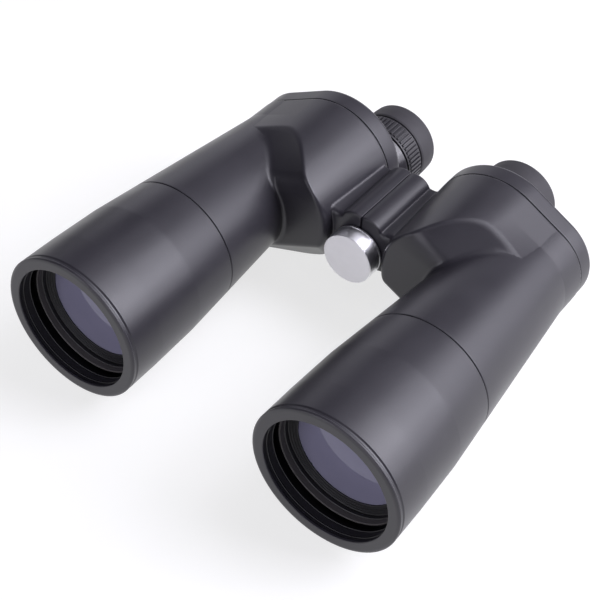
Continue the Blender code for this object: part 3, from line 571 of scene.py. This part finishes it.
def surface_net(axes, values):
    """Quads through the zero level of a lattice: one point in each cell that the surface crosses."""
    inside = values < 0
    shape = np.array(values.shape) - 1
    total = np.zeros((*shape, 3), np.float32)
    crossings = np.zeros(shape, np.int16)
    step = axes[0][1] - axes[0][0]
    edges = []
    for axis in range(3):
        lower = tuple(slice(None, -1) if n == axis else slice(None) for n in range(3))
        upper = tuple(slice(1, None) if n == axis else slice(None) for n in range(3))
        crossed = inside[lower] != inside[upper]
        i, j, k = np.nonzero(crossed)
        first, second = values[lower][i, j, k], values[upper][i, j, k]
        share = first / (first - second)
        start = np.stack([i, j, k], 1)
        position = start.astype(np.float32)
        position[:, axis] += share
        others = [n for n in range(3) if n != axis]
        around = []
        for a, b in ((0, 0), (1, 0), (1, 1), (0, 1)):
            cell = start.copy()
            cell[:, others[0]] -= a
            cell[:, others[1]] -= b
            valid = ((cell >= 0) & (cell < shape)).all(1)
            c = cell[valid]
            np.add.at(total, (c[:, 0], c[:, 1], c[:, 2]), position[valid])
            np.add.at(crossings, (c[:, 0], c[:, 1], c[:, 2]), 1)
            around.append(cell)
        edges.append((axis, around, first < 0))
    number = np.full(shape, -1)
    used = crossings > 0
    number[used] = np.arange(used.sum())
    points = total[used] / crossings[used][:, None] * step + np.array([axis[0] for axis in axes])
    faces = []
    for axis, around, solid_first in edges:
        quad = np.stack([number[c[:, 0], c[:, 1], c[:, 2]] for c in around], 1)
        turned_round = solid_first if axis == 1 else ~solid_first
        quad[turned_round] = quad[turned_round][:, ::-1]
        faces.append(quad)
    return points, np.concatenate(faces)


def onto_surface(form, points, rounds=3):
    """Moves points onto the zero level and gives the surface's normals there."""
    for n in range(rounds + 1):
        value = form(*points.T)
        slope = np.empty_like(points)
        for axis in range(3):
            ahead, behind = points.copy(), points.copy()
            ahead[:, axis] += SLOPE_REACH
            behind[:, axis] -= SLOPE_REACH
            slope[:, axis] = (form(*ahead.T) - form(*behind.T)) / (2 * SLOPE_REACH)
        square = np.maximum((slope**2).sum(1), 0.05)
        if n < rounds:
            move = -(value / square)[:, None] * slope
            length = np.linalg.norm(move, axis=1, keepdims=True)
            points = points + move * np.minimum(1.0, FARTHEST_MOVE / np.maximum(length, 1e-9))
    return points, slope / np.linalg.norm(slope, axis=1, keepdims=True)


def field_object(name, form, low, high, step, finish, side, keep):
    """A mesh of a distance field, thinned where it is smooth, with the field's own normals."""
    axes, values = lattice(form, low, high, step)
    points, faces = surface_net(axes, values)
    points, _ = onto_surface(form, points.astype(float), 2)
    rough = mesh_object(name + "_net", points, faces, finish)
    thin = rough.modifiers.new("thin", "DECIMATE")
    thin.ratio = keep
    shown = rough.evaluated_get(bpy.context.evaluated_depsgraph_get()).to_mesh()
    points = np.empty(len(shown.vertices) * 3)
    shown.vertices.foreach_get("co", points)
    points = points.reshape(-1, 3) / MM - np.array([0.0, FRONT_Y, AXIS_Z])
    faces = [tuple(face.vertices) for face in shown.polygons]
    bpy.data.objects.remove(rough, do_unlink=True)
    points, normals = onto_surface(form, points)
    if side < 0:
        points[:, 0] *= -1
        normals[:, 0] *= -1
        faces = [face[::-1] for face in faces]
    return mesh_object(name, points, faces, finish, normals)


# ---------------------------------------------------------------- objective end
def objective_barrel(hand, side):
    socket_radius = barrel_radius(SEAM_D) - SOCKET_INSET
    bead = [(0.5 * RIM_BEAD * (1 - math.cos(a)), RIM_RADIUS - RIM_BEAD * (1 - math.sin(a)))
            for a in np.linspace(0.0, math.pi / 2, 8)]
    outer = [
        (0.0, RIM_BORE - 0.5, 0.5),
        *bead,
        (1.4, RIM_RADIUS, 0.2),
        (1.8, RIM_RADIUS - 0.45, 0.4),
        (2.8, RIM_RADIUS - 0.45, 0.5),
        (3.5, RIM_RADIUS - 0.05, 0.5),
        (20.0, 36.2, 20.0),
        (SHOULDER_D, SHOULDER_RADIUS, 20.0),
        (SEAM_D, barrel_radius(SEAM_D), 0.4),
        (SEAM_D, socket_radius),
        (SEAM_D - SPIGOT_LENGTH, socket_radius),
        (SEAM_D - SPIGOT_LENGTH, BARREL_BORE),
        (32.0, BARREL_BORE),
        (32.0, RIM_BORE),
        (11.0, RIM_BORE),
        (10.7, RIM_BORE - 0.3),
    ]
    # two fine ridges run round the inside of the hood
    inner = [(10.6, 30.9, 0.1), (7.5, 30.9, 0.1), (7.35, 30.7, 0.08), (7.1, 30.7, 0.08), (6.95, 30.95, 0.1)]
    inner += [(3.6, 31.0, 0.1), (3.45, 30.8, 0.08), (3.2, 30.8, 0.08), (3.05, 31.05, 0.1), (1.6, 31.05, 0.3)]
    inner += [(1.2, 30.7, 0.2)]
    made = lathe(f"{hand}_barrel", (side * BARREL_X, 0.0), rounded(outer + inner), PAINT, 192)
    made.data.materials.append(HOOD_BLACK)
    centre = Vector((side * BARREL_X, AXIS_Z)) * MM
    for face in made.data.polygons:
        x, y, z = face.center
        if math.hypot(x - centre.x, z - centre.y) < (RIM_BORE + 0.05) * MM and y / MM - FRONT_Y > 1.15:
            face.material_index = 1
    return settle(made, f"{hand}_half", f"{hand}_objective_barrel", slot="housing_paint")


def objective_rings(hand, side):
    centre = (side * BARREL_X, 0.0)
    start, end = span(f"{hand}_cell_retaining_ring")
    ring = [(start, CELL_RADIUS, 0.1), (end, CELL_RADIUS, 0.1), (end, 29.5, 0.1), (start + 3.1, 29.6, 0.1),
            (start + 2.9, 30.0, 0.1), (start + 0.3, 30.1, 0.2), (start, 30.4, 0.1)]
    made = lathe(f"{hand}_grey_ring", centre, rounded(ring, 3), RING_GREY, 160)
    made.data.materials.append(HOOD_BLACK)
    for face in made.data.polygons:
        if face.center.y / MM - FRONT_Y > start + 2.95:
            face.material_index = 1
    settle(made, f"{hand}_half", f"{hand}_cell_retaining_ring", slot="grey_anodised")

    start, end = span(f"{hand}_objective_cell")
    cell = [(end, CELL_RADIUS), (end, 26.4), (17.7, 26.4), (17.7, 25.4, 0.1), (17.2, 25.4, 0.1), (17.0, 25.7)]
    ridges = [(17.0, 26.9, 0.1), (16.6, 27.1, 0.1), (16.6, 28.1, 0.1), (16.25, 28.3, 0.1), (16.25, 29.2, 0.1)]
    cell += ridges + [(start, 29.5), (start, CELL_RADIUS)]
    made = lathe(f"{hand}_lens_cell", centre, rounded(cell, 2), HOOD_BLACK, 160)
    settle(made, f"{hand}_half", f"{hand}_objective_cell", slot="black_anodised")

    for part, bulges in (("crown", (1.6, 1.6)), ("flint", (-1.55, 0.0))):
        low, high = span(f"{hand}_objective_{part}_lens")
        front = low + max(bulges[0], 0.0)
        back = high - max(bulges[1], 0.0)
        profile = lens_profile(front, back, LENS_RADIUS, *bulges)
        made = lathe(f"{hand}_{part}_glass", centre, profile, LENS_GLASS_AND_PAINTED_REFLECTION, 128, closed=False)
        settle(made, f"{hand}_half", f"{hand}_objective_{part}_lens", slot="coated_glass")

    start, end = span(f"{hand}_lens_lock_ring")
    lock = [(start, 26.1, 0.2), (end, 26.1, 0.2), (end, 24.9, 0.3), (start, 24.9, 0.3)]
    made = lathe(f"{hand}_lock_ring", centre, rounded(lock, 2), BLACKING, 96)
    settle(made, f"{hand}_half", f"{hand}_lens_lock_ring", slot="black_anodised")


# ---------------------------------------------------------------- housings and covers
def prism_housing(hand, side):
    def form(x, d, z):
        return housing_form(x, d, z, hand)

    low, high = (-11.0, SEAM_D - 9.5, -34.0), (102.0, COVER_D + 0.8, 38.0)
    made = field_object(f"{hand}_housing", form, low, high, HOUSING_STEP, PAINT, side, FACES_KEPT)
    return settle(made, f"{hand}_half", f"{hand}_prism_housing", slot="housing_paint")


def outline_rings(levels, count=240):
    """The housing's outline at each (d, inset) level."""
    return [[(*outline_point(360.0 * i / count, inset), d) for i in range(count)] for d, inset in levels]


def rear_cover(hand, side):
    levels = [(COVER_D, 1.2), (COVER_D, 0.45)]
    levels += [(COVER_D + 0.4 * (1 - math.cos(a)), 0.45 * (1 - math.sin(a))) for a in (0.5, 1.0, math.pi / 2)]
    levels += [(COVER_END_D - COVER_FILLET + COVER_FILLET * math.sin(a), COVER_FILLET * (1 - math.cos(a)))
               for a in np.linspace(0.0, math.pi / 2, 7)]
    rings = outline_rings(levels)
    build = bmesh.new()
    rows = [[build.verts.new(world([(side * x, d, z)])[0]) for x, z, d in ring] for ring in rings]
    for row, following in zip(rows, rows[1:]):
        for i in range(len(row)):
            build.faces.new((row[i - 1], row[i], following[i], following[i - 1]))
    build.faces.new(rows[0])
    build.faces.new(rows[-1])
    bmesh.ops.recalc_face_normals(build, faces=build.faces)
    mesh = bpy.data.meshes.new(f"{hand}_cover")
    build.to_mesh(mesh)
    build.free()
    mesh.materials.append(PAINT)
    mesh.shade_smooth()
    made = bpy.data.objects.new(f"{hand}_cover", mesh)
    bpy.context.scene.collection.objects.link(made)

    front, back = COVER_D - 5, COVER_END_D + 5
    bore = [(front, 0.0), (front, COVER_BORE), (back, COVER_BORE), (back, 0.0)]
    cutters = [lathe(f"{hand}_cover_bore", (side * EYE_X, EYE_Z), bore, PAINT, 96, closed=False)]
    seat = [(front, 0.0), (front, 1.55), (COVER_END_D - 1.9, 1.55), (COVER_END_D - 1.9, 2.75),
            (COVER_END_D - 0.25, 2.75), (COVER_END_D + 0.1, 3.1), (back, 3.1), (back, 0.0)]
    for n, (x, z) in enumerate(screw_places()):
        cutters.append(lathe(f"{hand}_screw_seat_{n}", (side * x, z), seat, PAINT, 40, closed=False))
    for cutter in cutters:
        cutter.modifiers.clear()
        cut = made.modifiers.new(cutter.name, "BOOLEAN")
        cut.operation = "DIFFERENCE"
        cut.object = cutter
    apply_modifiers(made)
    for cutter in cutters:
        bpy.data.objects.remove(cutter, do_unlink=True)
    smooth_by_angle(made, 30.0)
    return settle(made, f"{hand}_half", f"{hand}_rear_cover", slot="housing_paint")


def apply_modifiers(made):
    shown = made.evaluated_get(bpy.context.evaluated_depsgraph_get())
    mesh = bpy.data.meshes.new_from_object(shown)
    made.modifiers.clear()
    made.data = mesh


def cross_screw(name, centre, body, replaced):
    """A pan-head screw with a cross recess. Its head faces the eyepieces."""
    tip_d, top_d = span(replaced)
    head_d = top_d - SCREW_HEAD
    profile = [(tip_d, 0.0), (tip_d, 0.9), (tip_d + 0.5, 1.25)]
    turn = tip_d + 1.0
    while turn < head_d - 1.0:
        profile += [(turn, 1.25), (turn + 0.2, 1.05), (turn + 0.4, 1.25)]
        turn += 0.5
    profile += [(head_d, 1.25), (head_d, 2.2), (head_d + 0.2, 2.35), (head_d + SCREW_HEAD * 0.6, 2.25),
                (head_d + SCREW_HEAD * 0.9, 1.6), (head_d + SCREW_HEAD, 0.9), (head_d + SCREW_HEAD, 0.0)]
    made = lathe(name, centre, profile, STEEL, 32, closed=False)
    made.modifiers.clear()
    for n, angle in enumerate((20.0, 110.0)):
        build = bmesh.new()
        bmesh.ops.create_cube(build, size=1.0)
        cosine, sine = math.cos(math.radians(angle)), math.sin(math.radians(angle))
        for vert in build.verts:
            reach, thick, deep = 2.6 * vert.co.x, 0.55 * vert.co.y, 0.9 * vert.co.z - 0.05
            vert.co = world([(centre[0] + reach * cosine - thick * sine, head_d + SCREW_HEAD + deep,
                              centre[1] + reach * sine + thick * cosine)])[0]
        mesh = bpy.data.meshes.new(f"{name}_slot_{n}")
        bmesh.ops.recalc_face_normals(build, faces=build.faces)
        build.to_mesh(mesh)
        build.free()
        slot = bpy.data.objects.new(mesh.name, mesh)
        bpy.context.scene.collection.objects.link(slot)
        cut = made.modifiers.new(slot.name, "BOOLEAN")
        cut.operation = "DIFFERENCE"
        cut.object = slot
        apply_modifiers(made)
        bpy.data.objects.remove(slot, do_unlink=True)
    smooth_by_angle(made, 30.0)
    return settle(made, body, replaced, slot="steel")


# ---------------------------------------------------------------- eyepieces
def toothed_ring(name, centre, start, end, count=56):
    """The focus ring's grip: a smooth body with rounded teeth along Y, chamfered at their ends."""
    inner, root, tip = 14.35, 19.55, 20.5
    section = ((0.0, root), (0.16, root), (0.24, tip - 0.12), (0.34, tip), (0.66, tip), (0.76, tip - 0.12),
               (0.84, root))
    # (d, radius between the teeth, share of the teeth's height)
    levels = [(start, 19.3, 0.0), (start + 0.15, 19.75, 0.0), (start + 0.75, 19.8, 0.0),
              (start + 0.8, 19.8, 0.0), (start + 1.0, root, 0.3), (start + 1.4, root, 1.0),
              (end - 1.5, root, 1.0), (end - 0.75, root, 0.15), (end - 0.7, root, 0.0),
              (end - 0.15, root, 0.0), (end, root - 0.25, 0.0)]
    around = []
    for k in range(count):
        around += [((k + share) * 2 * math.pi / count, radius) for share, radius in section]
    points, rows = [], []
    for d, base, height in levels:
        rows.append(list(range(len(points), len(points) + len(around))))
        for a, radius in around:
            r = base + (radius - root) * height
            points.append((centre[0] + r * math.cos(a), d, centre[1] + r * math.sin(a)))
    for d in (end, start):
        rows.append(list(range(len(points), len(points) + len(around))))
        points += [(centre[0] + inner * math.cos(a), d, centre[1] + inner * math.sin(a)) for a, _ in around]
    faces = []
    for lower, upper in zip(rows, rows[1:] + rows[:1]):
        for k in range(len(around)):
            faces.append((lower[k - 1], lower[k], upper[k], upper[k - 1]))
    return smooth_by_angle(mesh_object(name, points, [face[::-1] for face in faces], RING_BLACK), 28.0)


def eyepiece(hand, side):
    centre = (side * EYE_X, EYE_Z)
    guide = [
        (GUIDE_D, 15.75), (COVER_END_D + 0.2, 15.75), (COVER_END_D + 0.2, 16.7, 0.3),
        (COVER_END_D + 2.6, 17.0, 3.0), (GUIDE_END_D - 3.2, 18.9, 3.0), (GUIDE_END_D, 19.45, 0.35),
        (GUIDE_END_D, 18.6, 0.2), (GUIDE_END_D - 0.8, 18.2, 0.2), (GUIDE_END_D - 0.8, 14.9, 0.3),
        (GUIDE_END_D, GUIDE_BORE), (GUIDE_D, GUIDE_BORE),
    ]
    made = lathe(f"{hand}_guide", centre, rounded(guide), GUIDE_PAINT, 160)
    settle(made, f"{hand}_half", f"{hand}_eyepiece_guide", slot="housing_paint")

    grip = f"{hand}_focus_grip"
    made = toothed_ring(f"{hand}_grip_ring", centre, RING_D, RING_END_D)
    settle(made, grip, f"{hand}_focus_ring", slot="black_anodised")

    end = CUP_END_D
    cup = [
        (CUP_D, GUIDE_BORE, 0.2), (CUP_D, 19.9, 0.5), (CUP_D + 1.2, 20.25, 1.0), (CUP_D + 7.0, 20.1, 6.0),
        (end - 0.7, 19.75, 1.3), (end, 19.0, 0.9), (end, 17.4, 0.9), (end - 1.6, 16.9, 0.8),
        (end - 4.2, 16.3, 1.5), (end - 7.6, 14.9, 1.5), (end - 9.1, 14.5, 0.5),
    ]
    made = lathe(f"{hand}_cup", centre, rounded(cup), RUBBER, 160)
    settle(made, grip, f"{hand}_eyecup", slot="rubber")

    ocular = f"{hand}_ocular"
    start, end = span(f"{hand}_ocular_tube")
    tube = [(start, 13.95, 0.2), (end, 13.95, 0.4), (end, 12.5, 0.4), (end - 1.0, 12.4, 0.2),
            (start, 12.4, 0.2)]
    made = lathe(f"{hand}_ocular_sleeve", centre, rounded(tube, 3), RING_BLACK, 128)
    settle(made, ocular, f"{hand}_ocular_tube", slot="black_anodised")
    start, end = span(f"{hand}_eye_lens_lock_ring")
    lock = [(start, 12.05), (end, 12.05, 0.3), (end, 11.6, 0.3), (end - 0.9, 10.6, 0.3), (start, 10.5, 0.2)]
    made = lathe(f"{hand}_eye_lock_ring", centre, rounded(lock, 3), RING_BLACK, 128)
    settle(made, ocular, f"{hand}_eye_lens_lock_ring", slot="black_anodised")
    for part in ("eye_lens", "field_lens"):
        low, high = span(f"{hand}_{part}")
        profile = lens_profile(low + 1.0, high - 1.0, 12.05, 1.0, 1.0)
        made = lathe(f"{hand}_{part}_glass", centre, profile, EYE_GLASS, 96, closed=False)
        settle(made, ocular, f"{hand}_{part}", slot="coated_glass")


# ---------------------------------------------------------------- hinge
def tripod_cap():
    """The silver cap, hollow behind, with the stud that holds it in its socket."""
    start, end = span("tripod_socket_cap")
    rear = start + 9.3
    profile = [
        (start, 0.0), (start, 12.95, 0.15), (start + 0.35, 13.3, 0.15), (rear - 1.75, 13.3, 0.05),
        (rear - 1.65, 13.15, 0.05), (rear - 1.45, 13.15, 0.05), (rear - 1.35, 13.33, 0.05),
        (rear - 0.3, 13.33, 0.2), (rear, 13.0, 0.1), (rear, 11.2, 0.2), (start + 2.2, 11.2),
        (start + 2.2, 3.0), (end - 0.4, 3.0), (end, 2.6), (end, 0.0),
    ]
    made = lathe("silver_cap", (0.0, 0.0), rounded(profile, 4, closed=False), CAP_FACE, 192, closed=False)
    made.data.materials.append(CAP_SIDE)
    for face in made.data.polygons:
        if face.center.y / MM - FRONT_Y > start + 0.06:
            face.material_index = 1
    settle(made, "tripod_cap", "tripod_socket_cap", slot="satin_aluminium")


def hinge_rear():
    """The eye distance disc, with its scale marks, and its screw."""
    start, end = span("eye_distance_disc")
    disc = [(start, 9.5), (start, 10.3, 0.1), (start + 0.2, 10.7, 0.2), (end - 1.2, 10.7, 0.3),
            (end, 9.6, 0.5), (end, 1.7, 0.2), (end - 1.6, 1.6), (end - 1.6, 9.5)]
    made = lathe("distance_disc", (0.0, 0.0), rounded(disc), PAINT, 160)
    settle(made, "left_half", "eye_distance_disc", slot="housing_paint")
    points, faces = [], []
    for n in range(9):
        a = math.radians(62.0 + n * 7.0)
        cosine, sine = math.cos(a), math.sin(a)
        length = 2.4 if n % 4 == 0 else 1.5
        corner = len(points)
        for r in (9.0, 9.0 - length):
            for across in (-0.14, 0.14):
                for d in (end - 0.02, end + 0.035):
                    points.append((r * cosine - across * sine, d, r * sine + across * cosine))
        for face in ((0, 1, 3, 2), (4, 6, 7, 5), (0, 4, 5, 1), (2, 3, 7, 6), (0, 2, 6, 4), (1, 5, 7, 3)):
            faces.append([corner + v for v in face])
    white = painted("scale_white", (0.62, 0.62, 0.60), 0.5, 0.05)
    marks = mesh_object("scale_marks", points, faces, white)
    marks.data.shade_flat()
    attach(marks, "left_half")
    cross_screw("disc_screw_head", (0.0, 0.0), "left_half", "disc_screw")


# ---------------------------------------------------------------- carried-over CAD nodes
def finish_cad_nodes():
    """Gives the CAD nodes that no piece replaces their materials."""
    finishes = {"hinge_axle": BLACK_STEEL, "front_hinge_washer": BLACK_STEEL, "rear_hinge_washer": STEEL,
                "hinge_tension_nut": STEEL, "front_hinge_bush": BRASS, "rear_hinge_bush": BRASS}
    for hand in SIDES:
        finishes[f"{hand}_prism_shelf"] = BLACKING
        for place in ("front", "rear"):
            finishes[f"{hand}_{place}_prism"] = PRISM_GLASS
            finishes[f"{hand}_{place}_prism_strap"] = STEEL
    for name, finish in finishes.items():
        for slot in frame["nodes"][name].material_slots:
            slot.material = finish


# ---------------------------------------------------------------- the object
for hand, side in SIDES.items():
    objective_barrel(hand, side)
    objective_rings(hand, side)
    prism_housing(hand, side)
    rear_cover(hand, side)
    for number, (screw_x, screw_z) in enumerate(screw_places(), 1):
        cross_screw(f"{hand}_screw_{number}", (side * screw_x, screw_z), f"{hand}_half",
                    f"{hand}_cover_screw_{number}")
    eyepiece(hand, side)
tripod_cap()
hinge_rear()
finish_cad_nodes()

# ---------------------------------------------------------------- camera
AZIMUTH, ELEVATION, ROLL = (math.radians(v) for v in (33.773, 44.161, 3.616))
DISTANCE = 590.83
AIM_RIGHT, AIM_UP = 45.77, 43.06  # from the middle of the objective rims, across and up the picture
back = Vector((math.sin(AZIMUTH) * math.cos(ELEVATION), -math.cos(AZIMUTH) * math.cos(ELEVATION),
               math.sin(ELEVATION)))
level = Vector((math.cos(AZIMUTH), math.sin(AZIMUTH), 0.0))
upright = back.cross(level)
across = math.cos(ROLL) * level + math.sin(ROLL) * upright
up = -math.sin(ROLL) * level + math.cos(ROLL) * upright
camera = bpy.data.objects.new("camera", bpy.data.cameras.new("camera"))
camera.data.lens = 84.49
camera.data.sensor_width = 36.0
camera.data.clip_start = 0.05
spot = Vector((0.0, FRONT_Y, AXIS_Z)) + back * DISTANCE + across * AIM_RIGHT + up * AIM_UP
camera.matrix_world = Matrix.Translation(spot * MM) @ Matrix((across, up, back)).transposed().to_4x4()
bpy.context.scene.collection.objects.link(camera)
bpy.context.scene.camera = camera

# ---------------------------------------------------------------- floor and light
SOFTBOX_DISTANCE = 1.3
SOFTBOX_SIZE = 0.6
SOFTBOX_TINT = (0.965, 0.95, 1.06)
FLOOR_GLOW = 0.72
SKY_STRENGTH = 0.03

bpy.ops.mesh.primitive_plane_add(size=6.0, location=(0.0, 0.0, 0.0))
floor = bpy.context.object
floor.name = "floor"
floor_finish = new_material("lit_floor", (0.34, 0.34, 0.34), 0.9)
paper = noise(floor_finish, object_space(floor_finish), 400.0)
drive(floor_finish, "Base Color", mixed(floor_finish, paper, (0.33, 0.33, 0.33), (0.35, 0.35, 0.35)))
floor_glow = floor_finish.node_tree.nodes["Principled BSDF"].inputs
floor_glow["Emission Color"].default_value = (1.0, 1.0, 1.0, 1.0)
floor_glow["Emission Strength"].default_value = FLOOR_GLOW
floor.data.materials.append(floor_finish)
floor.visible_diffuse = False
floor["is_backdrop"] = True

sky = bpy.data.worlds.new("studio")
sky.use_nodes = True
sky.node_tree.nodes["Background"].inputs["Color"].default_value = (1.0, 1.0, 1.0, 1.0)
sky.node_tree.nodes["Background"].inputs["Strength"].default_value = SKY_STRENGTH
bpy.context.scene.world = sky


def softbox(name, azimuth, elevation, power):
    """A square light that faces the object. Azimuth runs from the front towards the right half."""
    light = bpy.data.lights.new(name, "AREA")
    light.shape = "RECTANGLE"
    light.size = light.size_y = SOFTBOX_SIZE
    light.energy = power
    light.color = SOFTBOX_TINT
    made = bpy.data.objects.new(name, light)
    a, e = math.radians(azimuth), math.radians(elevation)
    out = Vector((math.sin(a) * math.cos(e), -math.cos(a) * math.cos(e), math.sin(e)))
    made.location = out * SOFTBOX_DISTANCE
    made.rotation_mode = "QUATERNION"
    made.rotation_quaternion = out.to_track_quat("Z", "Y")
    bpy.context.scene.collection.objects.link(made)


for name, azimuth, elevation, power in (
    ("key_low", 115.0, 18.0, 5.1), ("key", 115.0, 40.0, 9.3), ("key_back_low", 140.0, 18.0, 2.4),
    ("key_back", 140.0, 40.0, 3.4), ("key_back_high", 140.0, 62.0, 5.1), ("fill_left", -20.0, 18.0, 3.5),
    ("fill_right", 20.0, 18.0, 3.5), ("fill_high", 20.0, 62.0, 0.8), ("rim_left", -100.0, 18.0, 0.7),
    ("rim_back_left", -135.0, 18.0, 1.1), ("rim_back", -165.0, 18.0, 1.0), ("rim_high", -165.0, 62.0, 1.1),
):
    softbox(name, azimuth, elevation, power)

view = bpy.context.scene.view_settings
view.view_transform = "Standard"
view.look = "None"

[[list(corner) for corner in box] for box in (cad_box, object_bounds())]
